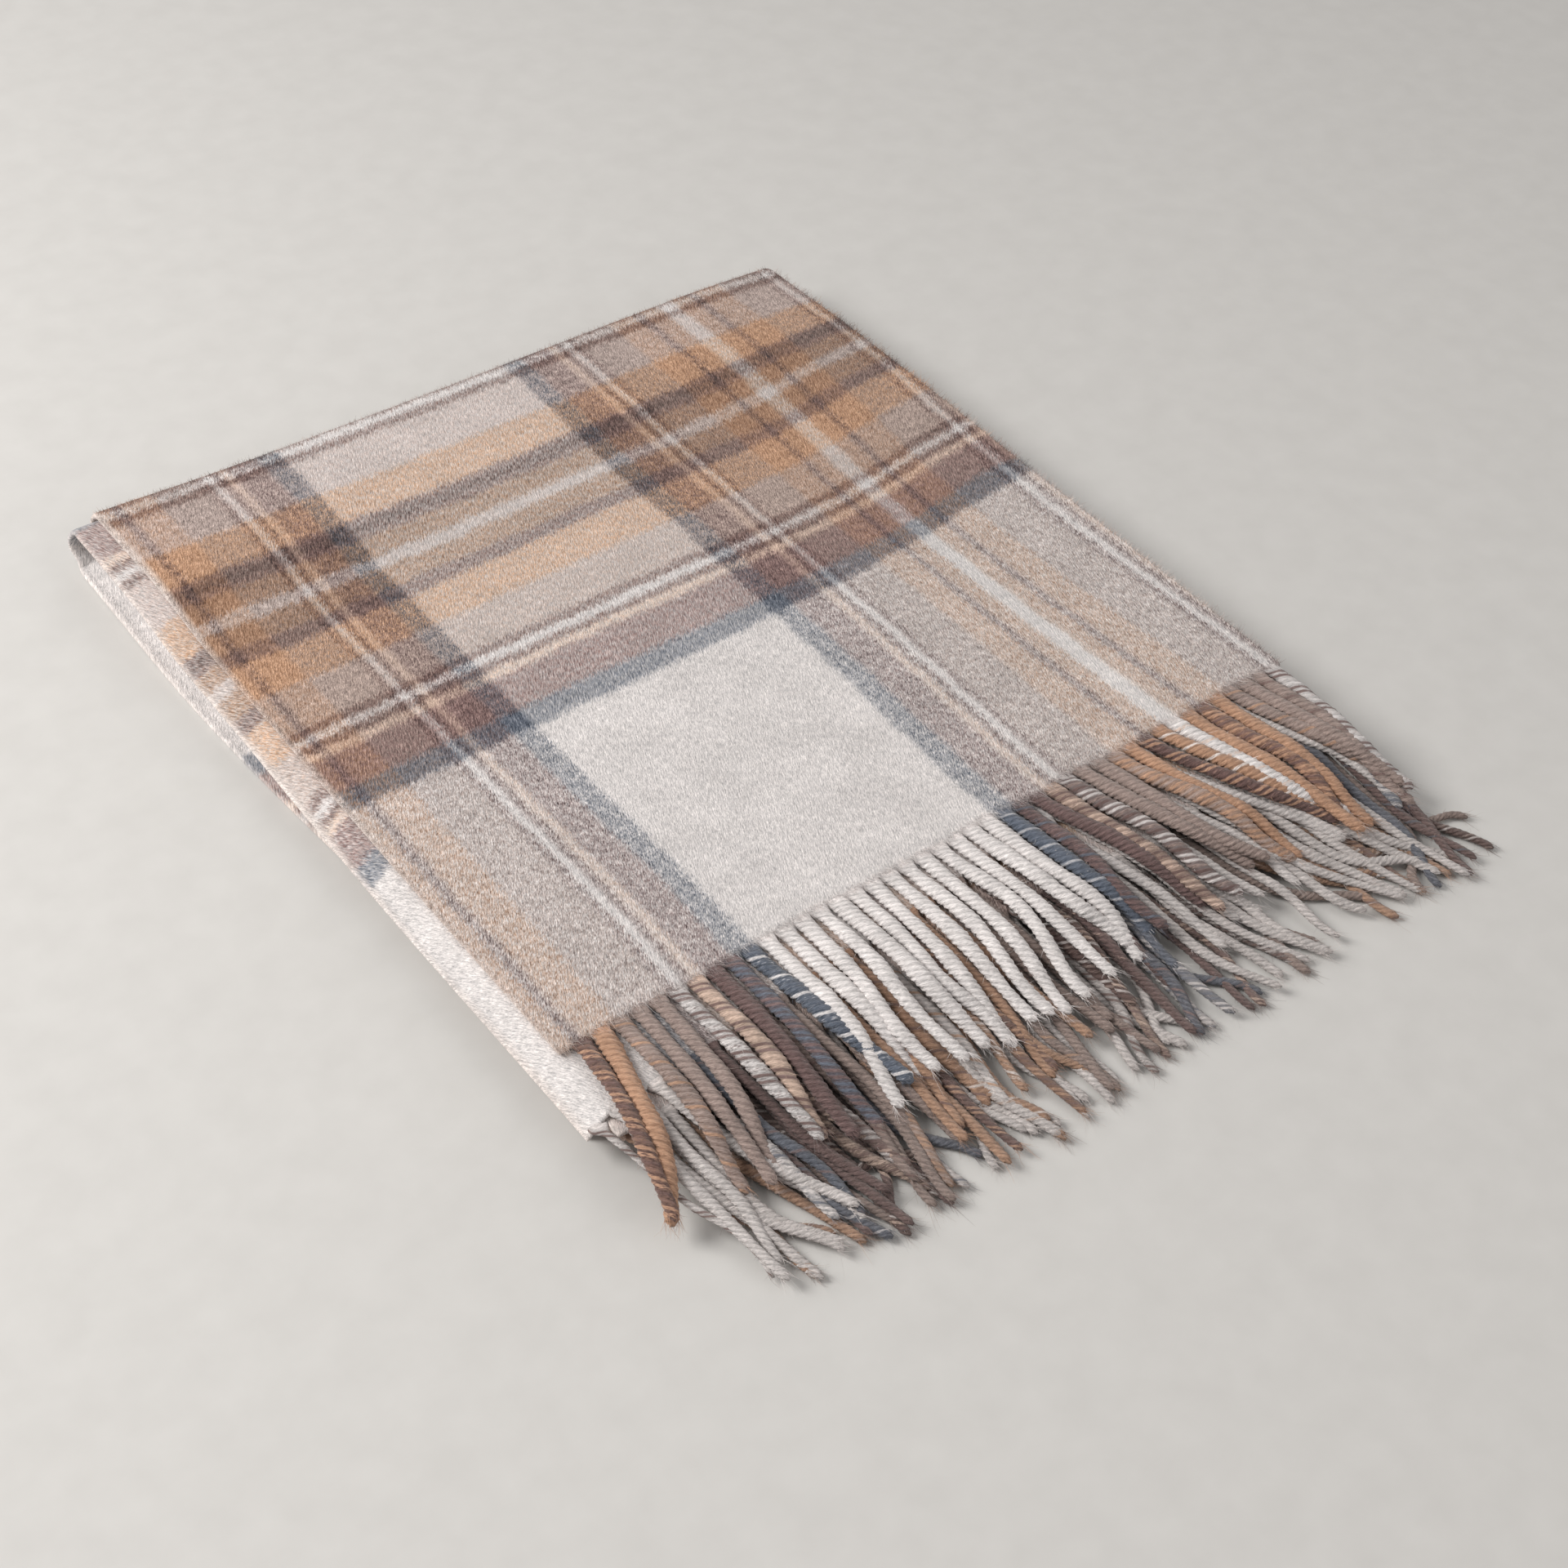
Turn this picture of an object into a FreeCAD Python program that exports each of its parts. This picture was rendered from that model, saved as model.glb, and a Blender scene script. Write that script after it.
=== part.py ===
"""Folded throw blanket: one woven cloth, folded three times, with twisted tassels on both short ends.

The cloth is folded in half across its width, so every layer is two plies: the upper breadth and the
lower breadth, which turn into each other at the side fold on +X. The doubled strip is then folded in
half twice along its length. That gives four leaves, numbered from the top:

    leaf 1  fringed end in front, outer back fold behind
    leaf 2  fringed end in front, inner back fold behind
    leaf 3  front fold in front, inner back fold behind
    leaf 4  front fold in front, outer back fold behind

Units are millimetres. +X runs along the back fold, +Y points to the back fold, +Z is up. The origin
is the centre of the bounding box's bottom face, on the surface that the throw lies on.
"""
import FreeCAD, Part
import math
import os
import Sketcher

os.makedirs("parts", exist_ok=True)

# ---------------------------------------------------------------- driving dimensions
DRIVING = {
    "overall_width": 373.0,      # tucked selvedges on -X to the side fold on +X
    "overall_depth": 485.0,      # tassel tips to the back fold
    "cloth_thickness": 2.4,      # brushed wool, uncompressed
    "ply_gap": 0.5,              # air between two plies
    "leaf_one_depth": 360.7,     # back fold to the top fringed edge
    "lower_breadth_step": 31.3,  # how far the second ply runs past the top one at -X
    "lower_breadth_ledge": 8.0,  # how far the lower breadth stands out past the upper one at -X
    "front_fold_setback": 10.0,  # front fold behind the fringed edge of leaf 2
    "tassel_length": 86.0,
    "tassel_diameter": 4.5,
    "tassel_pitch": 8.3,
    "tassel_droop": 7.2,         # degrees below level
    "tassel_bend": 40.0,         # radius where a tassel turns down
    "tassel_lift": 0.7,          # a tassel is thicker than its ply, so it lies on the ply below
    "tassel_clearance": 0.3,     # between a tassel's root and the edge it hangs from
}
PLY_COUNT = 8
LEAVES = (1, 2, 3, 4)
BREADTHS = ("upper", "lower")

# plies from the bottom of the stack to the top
STACK = [
    (4, "upper"), (4, "lower"), (3, "lower"), (3, "upper"),
    (2, "upper"), (2, "lower"), (1, "lower"), (1, "upper"),
]

# warp yarns, by distance in mm from the centre of the narrow white stripe that the pattern mirrors on
YARN_LIMITS = [("white", 5.0), ("camel", 33.0), ("taupe", 53.0), ("brown", 82.0), ("blue", 92.7)]
WIDE_STRIPE_YARN = "white"
PATTERN_REPEAT = 306.0
FIRST_MIRROR = -6.7              # the first mirror stripe, from the cloth's left selvedge
YARNS = ("white", "camel", "taupe", "brown", "blue")

# shift of each row of tassels towards -X, in pitches: a row hangs between those of the next rows
ROW_STAGGER = {(1, "upper"): 0.0, (1, "lower"): 0.5, (2, "lower"): 0.0, (2, "upper"): 0.5}

doc = FreeCAD.newDocument("folded_throw")
sheet = doc.addObject("Spreadsheet::Sheet", "Dimensions")
for row, (alias, number) in enumerate(DRIVING.items(), start=1):
    sheet.set(f"A{row}", alias)
    sheet.set(f"B{row}", str(number))
    sheet.setAlias(f"B{row}", alias)
doc.recompute()

# ---------------------------------------------------------------- expressions shared by several parts
PITCH = "(Dimensions.cloth_thickness + Dimensions.ply_gap)"
FOLD_INNER = "Dimensions.ply_gap / 2"
FOLD_OUTER = "(Dimensions.ply_gap / 2 + Dimensions.cloth_thickness)"
RIGHT_END = f"(Dimensions.overall_width / 2 - {FOLD_OUTER})"
LOWER_LEFT = "(-Dimensions.overall_width / 2)"
UPPER_LEFT = f"({LOWER_LEFT} + Dimensions.lower_breadth_ledge)"
BACK_AXIS_Z = f"({PITCH} * {PLY_COUNT} / 2 - Dimensions.ply_gap / 2)"
BACK_AXIS_Y = f"(Dimensions.overall_depth / 2 - {BACK_AXIS_Z})"
LEAF_ONE_EDGE = "(Dimensions.overall_depth / 2 - Dimensions.leaf_one_depth)"
TASSEL_REACH = (
    "(Dimensions.tassel_bend * sin(Dimensions.tassel_droop * 1 deg)"
    " + (Dimensions.tassel_length - Dimensions.tassel_bend * Dimensions.tassel_droop * pi / 180)"
    " * cos(Dimensions.tassel_droop * 1 deg)"
    " + Dimensions.tassel_diameter / 2 * sin(Dimensions.tassel_droop * 1 deg))"
)
LEAF_TWO_EDGE = f"(-Dimensions.overall_depth / 2 + {TASSEL_REACH} + Dimensions.tassel_clearance)"
FRONT_AXIS_Z = f"({PITCH} * 2 - Dimensions.ply_gap / 2)"
FRONT_AXIS_Y = f"({LEAF_TWO_EDGE} + Dimensions.front_fold_setback + {FRONT_AXIS_Z})"

TO_BACK = FreeCAD.Rotation(FreeCAD.Vector(1, 1, 1), 120)       # local X to +Y, local Z to +X
TO_FRONT = FreeCAD.Rotation(
    FreeCAD.Vector(0, -1, 0), FreeCAD.Vector(0, 0, -1), FreeCAD.Vector(1, 0, 0), "ZXY"
)                                                              # local X to -Y, local Z to +X
ALONG_SIDE = FreeCAD.Rotation(FreeCAD.Vector(1, 0, 0), 90)     # local Z to -Y
LEVEL = FreeCAD.Rotation()

node_objects = []


def number_of(expression):
    """The value of a sheet expression, as a plain number."""
    value = sheet.evalExpression(expression)
    return float(getattr(value, "Value", value))


def ply_bottom(leaf, breadth):
    """Expression for the height of a ply's underside."""
    return f"{PITCH} * {STACK.index((leaf, breadth))}"


def place(part, rotation, x, y, z):
    """Turn a sub-part and bind its position to the sheet."""
    part.Placement = FreeCAD.Placement(FreeCAD.Vector(number_of(x), number_of(y), number_of(z)), rotation)
    for axis, expression in zip("xyz", (x, y, z)):
        part.setExpression(f".Placement.Base.{axis}", expression)


def origin_plane(body, role):
    return next(o for o in body.Origin.OriginFeatures if o.Role == role)


def new_body(label):
    body = doc.addObject("PartDesign::Body", label)
    body.Label = label
    node_objects.append(body)
    return body


def new_sketch(body):
    sketch = body.newObject("Sketcher::SketchObject", body.Name + "_outline")
    sketch.AttachmentSupport = [(origin_plane(body, "XY_Plane"), "")]
    sketch.MapMode = "FlatFace"
    return sketch


def bind(sketch, constraint, name, expression):
    """Add a named driving constraint and tie it to the sheet."""
    index = sketch.addConstraint(constraint)
    sketch.renameConstraint(index, name)
    sketch.setExpression(f"Constraints.{name}", expression)


# ---------------------------------------------------------------- plies
def make_ply(leaf, breadth, left, front_at_left, front_at_right, back, label):
    """A flat four-sided ply whose back edge lies along X and whose front edge may slant."""
    width = f"{RIGHT_END} - {left}"
    left_length = f"{back} - {front_at_left}"
    right_length = f"{back} - {front_at_right}"
    w, a, b = number_of(width), number_of(left_length), number_of(right_length)
    corners = [(0, 0), (w, 0), (w, -b), (0, -a)]
    body = new_body(label)
    sketch = new_sketch(body)
    for (x1, y1), (x2, y2) in zip(corners, corners[1:] + corners[:1]):
        sketch.addGeometry(Part.LineSegment(FreeCAD.Vector(x1, y1, 0), FreeCAD.Vector(x2, y2, 0)))
    for edge in range(4):
        sketch.addConstraint(Sketcher.Constraint("Coincident", edge, 2, (edge + 1) % 4, 1))
    sketch.addConstraint(Sketcher.Constraint("Coincident", 0, 1, -1, 1))
    sketch.addConstraint(Sketcher.Constraint("Horizontal", 0))
    sketch.addConstraint(Sketcher.Constraint("Vertical", 1))
    sketch.addConstraint(Sketcher.Constraint("Vertical", 3))
    bind(sketch, Sketcher.Constraint("Distance", 0, w), "back_edge", width)
    bind(sketch, Sketcher.Constraint("Distance", 1, b), "right_edge", right_length)
    bind(sketch, Sketcher.Constraint("Distance", 3, a), "left_edge", left_length)
    pad = body.newObject("PartDesign::Pad", label + "_pad")
    pad.Profile = sketch
    pad.setExpression("Length", "Dimensions.cloth_thickness")
    place(body, LEVEL, left, back, ply_bottom(leaf, breadth))


def make_plies():
    fronts = {
        (1, "upper"): (LEAF_ONE_EDGE, LEAF_ONE_EDGE),
        (1, "lower"): (f"({LEAF_ONE_EDGE} - Dimensions.lower_breadth_step)", LEAF_ONE_EDGE),
        (2, "upper"): (LEAF_TWO_EDGE, LEAF_TWO_EDGE),
        (2, "lower"): (LEAF_TWO_EDGE, LEAF_TWO_EDGE),
    }
    left_of = {"upper": UPPER_LEFT, "lower": LOWER_LEFT}
    for leaf in LEAVES:
        for breadth in BREADTHS:
            at_left, at_right = fronts.get((leaf, breadth), (FRONT_AXIS_Y, FRONT_AXIS_Y))
            label = f"leaf_{leaf}_{breadth}_breadth"
            make_ply(leaf, breadth, left_of[breadth], at_left, at_right, BACK_AXIS_Y, label)


# ---------------------------------------------------------------- folds
def draw_half_ring(sketch, inner, outer, height):
    """Half a ring that bulges to +X, with its centre on the Y axis at a height."""
    r, big, mid = number_of(inner), number_of(outer), number_of(height)
    centre, up = FreeCAD.Vector(0, mid, 0), FreeCAD.Vector(0, 0, 1)
    for radius in (r, big):
        circle = Part.Circle(centre, up, radius)
        sketch.addGeometry(Part.ArcOfCircle(circle, -math.pi / 2, math.pi / 2))
    for side in (-1, 1):
        start = FreeCAD.Vector(0, mid + side * r, 0)
        sketch.addGeometry(Part.LineSegment(start, FreeCAD.Vector(0, mid + side * big, 0)))
    inner_arc, outer_arc, low_end, high_end = range(4)
    sketch.addConstraint(Sketcher.Constraint("Coincident", inner_arc, 1, low_end, 1))
    sketch.addConstraint(Sketcher.Constraint("Coincident", outer_arc, 1, low_end, 2))
    sketch.addConstraint(Sketcher.Constraint("Coincident", inner_arc, 2, high_end, 1))
    sketch.addConstraint(Sketcher.Constraint("Coincident", outer_arc, 2, high_end, 2))
    sketch.addConstraint(Sketcher.Constraint("Coincident", inner_arc, 3, outer_arc, 3))
    sketch.addConstraint(Sketcher.Constraint("Vertical", low_end))
    sketch.addConstraint(Sketcher.Constraint("PointOnObject", low_end, 1, -2))
    sketch.addConstraint(Sketcher.Constraint("PointOnObject", high_end, 1, -2))
    if mid:
        sketch.addConstraint(Sketcher.Constraint("PointOnObject", inner_arc, 3, -2))
        distance = Sketcher.Constraint("DistanceY", -1, 1, inner_arc, 3, mid)
        bind(sketch, distance, "centre_height", height)
    else:
        sketch.addConstraint(Sketcher.Constraint("Coincident", inner_arc, 3, -1, 1))
    bind(sketch, Sketcher.Constraint("Radius", inner_arc, r), "inner_radius", inner)
    bind(sketch, Sketcher.Constraint("Radius", outer_arc, big), "outer_radius", outer)


def make_straight_fold(label, inner, outer, length, rotation, x, y, z):
    """A half ring drawn out straight: the cloth where it turns back on itself."""
    body = new_body(label)
    sketch = new_sketch(body)
    draw_half_ring(sketch, inner, outer, "0")
    pad = body.newObject("PartDesign::Pad", label + "_pad")
    pad.Profile = sketch
    pad.setExpression("Length", length)
    place(body, rotation, x, y, z)


def make_fold_corner(label, centre_radius, behind, y, z):
    """The side fold where it goes round a cross fold: its section revolved half a turn about X."""
    body = new_body(label)
    sketch = new_sketch(body)
    draw_half_ring(sketch, FOLD_INNER, FOLD_OUTER, centre_radius)
    turn = body.newObject("PartDesign::Revolution", label + "_turn")
    turn.Profile = sketch
    turn.ReferenceAxis = (sketch, ["H_Axis"])
    turn.Angle = 180
    turn.Reversed = behind
    place(body, ALONG_SIDE, RIGHT_END, y, z)


def ring_radius(ply_steps):
    """Middle radius of a cross fold that spans an odd number of half plies from its axis."""
    return f"({PITCH} * {ply_steps})"


def make_cross_fold(name, steps, rotation, behind, y, z):
    """Both breadths of a fold across the length, and the corner where the side fold goes round it."""
    half = "Dimensions.cloth_thickness / 2"
    left_of = {"upper": UPPER_LEFT, "lower": LOWER_LEFT}
    for breadth in BREADTHS:
        middle = ring_radius(steps[breadth])
        left = left_of[breadth]
        make_straight_fold(
            f"{name}_{breadth}_breadth", f"({middle} - {half})", f"({middle} + {half})",
            f"{RIGHT_END} - {left}", rotation, left, y, z,
        )
    corner_radius = ring_radius((steps["upper"] + steps["lower"]) / 2)
    make_fold_corner(f"{name}_corner", corner_radius, behind, y, z)


def make_folds():
    for leaf in LEAVES:
        low = min(STACK.index((leaf, breadth)) for breadth in BREADTHS)
        front = {1: LEAF_ONE_EDGE, 2: LEAF_TWO_EDGE}.get(leaf, FRONT_AXIS_Y)
        make_straight_fold(
            f"leaf_{leaf}_side_fold", FOLD_INNER, FOLD_OUTER, f"{BACK_AXIS_Y} - {front}",
            ALONG_SIDE, RIGHT_END, BACK_AXIS_Y, f"{PITCH} * {low} + {FOLD_OUTER}",
        )
    back = (TO_BACK, True, BACK_AXIS_Y, BACK_AXIS_Z)
    front = (TO_FRONT, False, FRONT_AXIS_Y, FRONT_AXIS_Z)
    make_cross_fold("outer_back_fold", {"upper": 3.5, "lower": 2.5}, *back)
    make_cross_fold("inner_back_fold", {"upper": 0.5, "lower": 1.5}, *back)
    make_cross_fold("front_fold", {"upper": 1.5, "lower": 0.5}, *front)


# ---------------------------------------------------------------- tassels
def yarn_at(across):
    """Yarn colour at a distance from the cloth's left selvedge, across its whole width."""
    phase = (across - FIRST_MIRROR) % PATTERN_REPEAT
    from_mirror = min(phase, PATTERN_REPEAT - phase)
    for yarn, limit in YARN_LIMITS:
        if from_mirror < limit:
            return yarn
    return WIDE_STRIPE_YARN


def make_tassel(x, y, z, level_run):
    """One twisted tassel as a round bar: level to the bend, then drooping to its cut end."""
    length, radius = number_of("Dimensions.tassel_length"), number_of("Dimensions.tassel_diameter / 2")
    bend, droop = number_of("Dimensions.tassel_bend"), math.radians(number_of("Dimensions.tassel_droop"))
    root = FreeCAD.Vector(x, y, z)
    turn_start = root + FreeCAD.Vector(0, -level_run, 0)

    def on_bend(angle):
        return turn_start + FreeCAD.Vector(0, -bend * math.sin(angle), -bend * (1 - math.cos(angle)))

    last_run = length - level_run - bend * droop
    tip = on_bend(droop) + FreeCAD.Vector(0, -math.cos(droop), -math.sin(droop)) * last_run
    path = [Part.Arc(turn_start, on_bend(droop / 2), on_bend(droop)).toShape()]
    path.append(Part.makeLine(on_bend(droop), tip))
    if level_run:
        path.insert(0, Part.makeLine(root, turn_start))
    section = Part.Wire(Part.makeCircle(radius, root, FreeCAD.Vector(0, -1, 0)))
    solid = Part.Wire(path).makePipeShell([section], True, False)
    expected = math.pi * radius ** 2 * length
    if abs(solid.Volume - expected) > 0.01 * expected:
        raise RuntimeError(f"tassel at {x:.1f} has volume {solid.Volume:.0f}, expected {expected:.0f}")
    return solid


def make_tassels():
    """Four rows of tassels, one on each ply that ends in front, grouped by yarn."""
    clear = number_of("Dimensions.tassel_clearance")
    pitch = number_of("Dimensions.tassel_pitch")
    thickness = number_of("Dimensions.cloth_thickness")
    right_end = number_of(RIGHT_END)
    left_of = {"upper": number_of(UPPER_LEFT), "lower": number_of(LOWER_LEFT)}
    edge_one, edge_two = number_of(LEAF_ONE_EDGE), number_of(LEAF_TWO_EDGE)
    step = number_of("Dimensions.lower_breadth_step")
    lift = {1: number_of("Dimensions.tassel_lift"), 2: 0.0}
    turn_y = edge_two - clear
    for leaf in (1, 2):
        for breadth in BREADTHS:
            stagger = ROW_STAGGER[leaf, breadth]
            z = number_of(ply_bottom(leaf, breadth)) + thickness / 2 + lift[leaf]
            count = int((right_end - left_of[breadth]) / pitch - stagger)
            groups = {yarn: [] for yarn in YARNS}
            for index in range(count):
                x = right_end - (index + 0.5 + stagger) * pitch
                across = x - left_of["upper"]
                root_y = turn_y
                if leaf == 1:
                    root_y = edge_one - clear
                if (leaf, breadth) == (1, "lower"):
                    root_y -= step * (right_end - x) / (right_end - left_of["lower"])
                if breadth == "lower":
                    across = 2 * (right_end - left_of["upper"]) - across
                groups[yarn_at(across)].append(make_tassel(x, root_y, z, root_y - turn_y))
            for yarn, solids in groups.items():
                row = doc.addObject("Part::Feature", f"leaf_{leaf}_{breadth}_{yarn}_tassels")
                row.Label = row.Name
                row.Shape = Part.Compound(solids)
                row.Placement = FreeCAD.Placement()
                node_objects.append(row)


make_plies()
make_folds()
make_tassels()
doc.recompute()

# ---------------------------------------------------------------- verify and write
faults = []
for item in doc.Objects:
    if "Invalid" in item.State or "Error" in item.State:
        faults.append(f"{item.Label}: {item.State}")
for part in node_objects:
    if part.Shape.isNull() or not part.Shape.isValid() or not part.Shape.Solids:
        faults.append(f"{part.Label}: no valid solid")
if faults:
    raise RuntimeError("; ".join(faults))

whole = FreeCAD.BoundBox()
for part in node_objects:
    part.Shape.exportStep(os.path.join("parts", part.Label + ".step"))
    whole.add(part.Shape.optimalBoundingBox(False))
print(f"{len(node_objects)} nodes, X {whole.XMin:.2f} to {whole.XMax:.2f}")
print(f"Y {whole.YMin:.2f} to {whole.YMax:.2f}, Z {whole.ZMin:.2f} to {whole.ZMax:.2f}")
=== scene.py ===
import math

import bpy
import numpy as np
from mathutils import Matrix, Vector


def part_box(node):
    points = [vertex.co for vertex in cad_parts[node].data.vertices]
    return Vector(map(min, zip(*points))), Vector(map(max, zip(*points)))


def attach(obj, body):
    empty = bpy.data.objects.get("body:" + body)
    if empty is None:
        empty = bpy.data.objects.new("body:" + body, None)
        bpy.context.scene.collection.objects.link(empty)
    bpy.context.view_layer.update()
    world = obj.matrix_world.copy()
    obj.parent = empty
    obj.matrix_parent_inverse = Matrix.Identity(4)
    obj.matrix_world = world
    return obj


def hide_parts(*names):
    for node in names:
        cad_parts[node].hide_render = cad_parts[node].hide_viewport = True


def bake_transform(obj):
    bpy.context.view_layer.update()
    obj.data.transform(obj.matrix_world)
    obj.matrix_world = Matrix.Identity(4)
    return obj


# The looks of a folded throw: one brushed tartan cloth, folded three times, with twisted tassels.
# Metres, in the CAD frame: +X along the back fold, +Y to the back fold, +Z up, the floor at Z = 0.
#
# The cloth is doubled across its width, so a strip of it is two plies: the upper breadth and the
# lower breadth, joined by the side fold on +X. A point of the cloth is given by
#     u  distance across the cloth from the upper breadth's selvedge, round the side fold
#     v  distance along the cloth from the top fringed edge, through all the folds
# and both are kept as UV coordinates in metres, which is what the yarn pattern is drawn from.

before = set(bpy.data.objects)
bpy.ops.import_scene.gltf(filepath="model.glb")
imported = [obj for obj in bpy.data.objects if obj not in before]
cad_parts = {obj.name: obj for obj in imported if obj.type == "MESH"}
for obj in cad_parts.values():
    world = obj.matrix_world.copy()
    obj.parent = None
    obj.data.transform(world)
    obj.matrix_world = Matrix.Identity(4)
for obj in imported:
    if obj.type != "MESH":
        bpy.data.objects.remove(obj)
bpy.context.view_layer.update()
MM = 0.001

# ---------------------------------------------------------------- sizes read from the frame
TOP_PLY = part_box("leaf_1_upper_breadth")
SECOND_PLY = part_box("leaf_1_lower_breadth")
BOTTOM_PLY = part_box("leaf_4_upper_breadth")
THIRD_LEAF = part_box("leaf_3_upper_breadth")
SECOND_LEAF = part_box("leaf_2_upper_breadth")

THICKNESS = TOP_PLY[1].z - TOP_PLY[0].z
PLY_COUNT = 8
PITCH = (TOP_PLY[0].z - BOTTOM_PLY[0].z) / (PLY_COUNT - 1)
RIGHT_END = TOP_PLY[1].x
UPPER_LEFT = TOP_PLY[0].x
LOWER_LEFT = SECOND_PLY[0].x
BACK_Y = TOP_PLY[1].y
FRONT_Y = THIRD_LEAF[0].y
LEAF_ONE_EDGE = TOP_PLY[0].y
LEAF_TWO_EDGE = SECOND_LEAF[0].y
STEP = LEAF_ONE_EDGE - SECOND_PLY[0].y              # how far the second ply runs past the top one at -X
BACK_Z = PITCH * PLY_COUNT / 2 - (PITCH - THICKNESS) / 2
FRONT_Z = PITCH * 2 - (PITCH - THICKNESS) / 2
HALF_PITCH = PITCH / 2
HALF_CLOTH = THICKNESS / 2
UPPER_WIDTH = RIGHT_END - UPPER_LEFT
LOWER_WIDTH = RIGHT_END - LOWER_LEFT
SIDE_TURN = math.pi * HALF_PITCH
CLOTH_WIDTH = UPPER_WIDTH + SIDE_TURN + LOWER_WIDTH
OUTER_RADIUS = 3 * PITCH                            # outer back fold, at the middle of the strip
INNER_RADIUS = PITCH                                # inner back fold and front fold
LENGTH_ONE = BACK_Y - LEAF_ONE_EDGE
LENGTH_TWO = BACK_Y - LEAF_TWO_EDGE
LENGTH_LOW = BACK_Y - FRONT_Y                       # leaves 3 and 4
OUTER_TURN = math.pi * OUTER_RADIUS
INNER_TURN = math.pi * INNER_RADIUS
CLOTH_LENGTH = LENGTH_ONE + OUTER_TURN + LENGTH_LOW + INNER_TURN + LENGTH_LOW + INNER_TURN + LENGTH_TWO
STRIP_Z = {leaf: BACK_Z + PITCH * {1: 3, 2: 1, 3: -1, 4: -3}[leaf] for leaf in (1, 2, 3, 4)}

# ---------------------------------------------------------------- the sett, in mm from a mirror line
# Each band is (yarn, where it ends). The warp runs along the cloth and the weft across it.
WARP_SETT = [
    ("white", 4.5), ("camel", 13.5), ("dark", 17.5), ("camel", 32), ("taupe", 54), ("dark", 57),
    ("white", 61), ("dark", 64.5), ("cream", 68.5), ("brown", 83), ("blue", 93), ("white", 153),
]
WEFT_SETT = [
    ("mushroom", 3.5), ("ochre", 16.5), ("dark", 25.5), ("camel", 48), ("taupe", 72.5), ("dark", 77.5),
    ("white", 82.5), ("dark", 87), ("cream", 92), ("brown", 112.5), ("blue", 124), ("white", 199),
]
# the same past the mirror line, where the dark band has a deep middle and the taupe is a lighter mauve:
# partly the yarn's colours, partly painted shade in the dip and painted light on the rise of the cloth before
# the back fold
WEFT_SETT_BEYOND = [
    ("mushroom", 3.5), ("ochre", 15), ("dark", 18), ("deep", 23), ("dark", 26), ("camel", 47),
    ("mauve", 72.5), ("dark", 77.5), ("white", 82.5), ("dark", 87), ("cream", 92), ("brown", 112.5),
    ("blue", 124), ("white", 199),
]
WARP_MIRROR = -7.2 * MM                             # a mirror line, from the upper breadth's selvedge
WEFT_MIRROR = 268.2 * MM                            # a mirror line, from the top fringed edge
WARP_COLOURS = {
    "white": (0.71, 0.67, 0.66),
    "cream": (0.64, 0.47, 0.38),
    "camel": (0.425, 0.245, 0.158),
    "taupe": (0.325, 0.246, 0.220),
    "brown": (0.166, 0.104, 0.100),
    "dark": (0.118, 0.068, 0.062),
    "blue": (0.096, 0.114, 0.150),
}
WEFT_COLOURS = {
    "white": (0.71, 0.67, 0.66),
    "mushroom": (0.50, 0.42, 0.39),
    "cream": (0.70, 0.51, 0.40),
    "camel": (0.525, 0.292, 0.168),
    "ochre": (0.285, 0.150, 0.084),
    "taupe": (0.460, 0.350, 0.302),
    # mauve is partly painted light and deep is partly painted shade; both are used only past the weft's
    # mirror line
    "mauve": (0.520, 0.415, 0.380),
    "brown": (0.205, 0.116, 0.106),
    "dark": (0.128, 0.066, 0.054),
    "deep": (0.062, 0.030, 0.024),
    "blue": (0.094, 0.112, 0.148),
}
# a painted highlight, drawn along both selvedges
SELVEDGE_HIGHLIGHT = (0.74, 0.66, 0.62)
WEFT_SHARE = 0.56                                   # of the colour seen, where warp and weft cross

# square roots of colours: the tint of loose fibres, the least that a fibre shows, and the painted shade that
# cords under other rows are drawn towards
LOOSE_TINT = (1.0, 0.93, 0.88)
DARKEST = (0.12, 0.10, 0.10)
PAINTED_SHADE_YARN = (0.53, 0.47, 0.44, 1.0)


# ---------------------------------------------------------------- small helpers
def smooth(t):
    """0 below 0, 1 above 1 and a smooth step between them."""
    t = np.clip(t, 0.0, 1.0)
    return t * t * (3 - 2 * t)


def bell(distance, width):
    return np.exp(-(distance / width) ** 2)


def ripple(x, y, seed, scale, count=6):
    """A smooth random surface of about unit height, whose waves are about one scale long."""
    draw = np.random.RandomState(seed)
    total = np.zeros(np.broadcast(x, y).shape)
    for _ in range(count):
        angle, phase = draw.uniform(0, 2 * math.pi, 2)
        wave = 2 * math.pi / (scale * draw.uniform(0.7, 1.6))
        total += np.sin(wave * (x * math.cos(angle) + y * math.sin(angle)) + phase)
    return total / math.sqrt(count)


def new_mesh(name, points, quads, uvs, material, sharp=None):
    """A smooth mesh piece with one UV point per face corner."""
    mesh = bpy.data.meshes.new(name)
    mesh.from_pydata([], [], [])
    mesh.vertices.add(len(points))
    mesh.vertices.foreach_set("co", np.asarray(points, np.float32).ravel())
    mesh.loops.add(quads.size)
    mesh.loops.foreach_set("vertex_index", quads.astype(np.int32).ravel())
    mesh.polygons.add(len(quads))
    mesh.polygons.foreach_set("loop_start", np.arange(0, quads.size, quads.shape[1], dtype=np.int32))
    mesh.polygons.foreach_set("use_smooth", np.ones(len(quads), bool))
    mesh.update(calc_edges=True)
    for layer, corners in uvs.items():
        uv = mesh.uv_layers.new(name=layer)
        uv.data.foreach_set("uv", np.asarray(corners, np.float32).ravel())
    mesh.validate()
    if sharp:
        mesh.set_sharp_from_angle(angle=math.radians(sharp))
    piece = bpy.data.objects.new(name, mesh)
    bpy.context.scene.collection.objects.link(piece)
    mesh.materials.append(material)
    return piece


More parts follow.
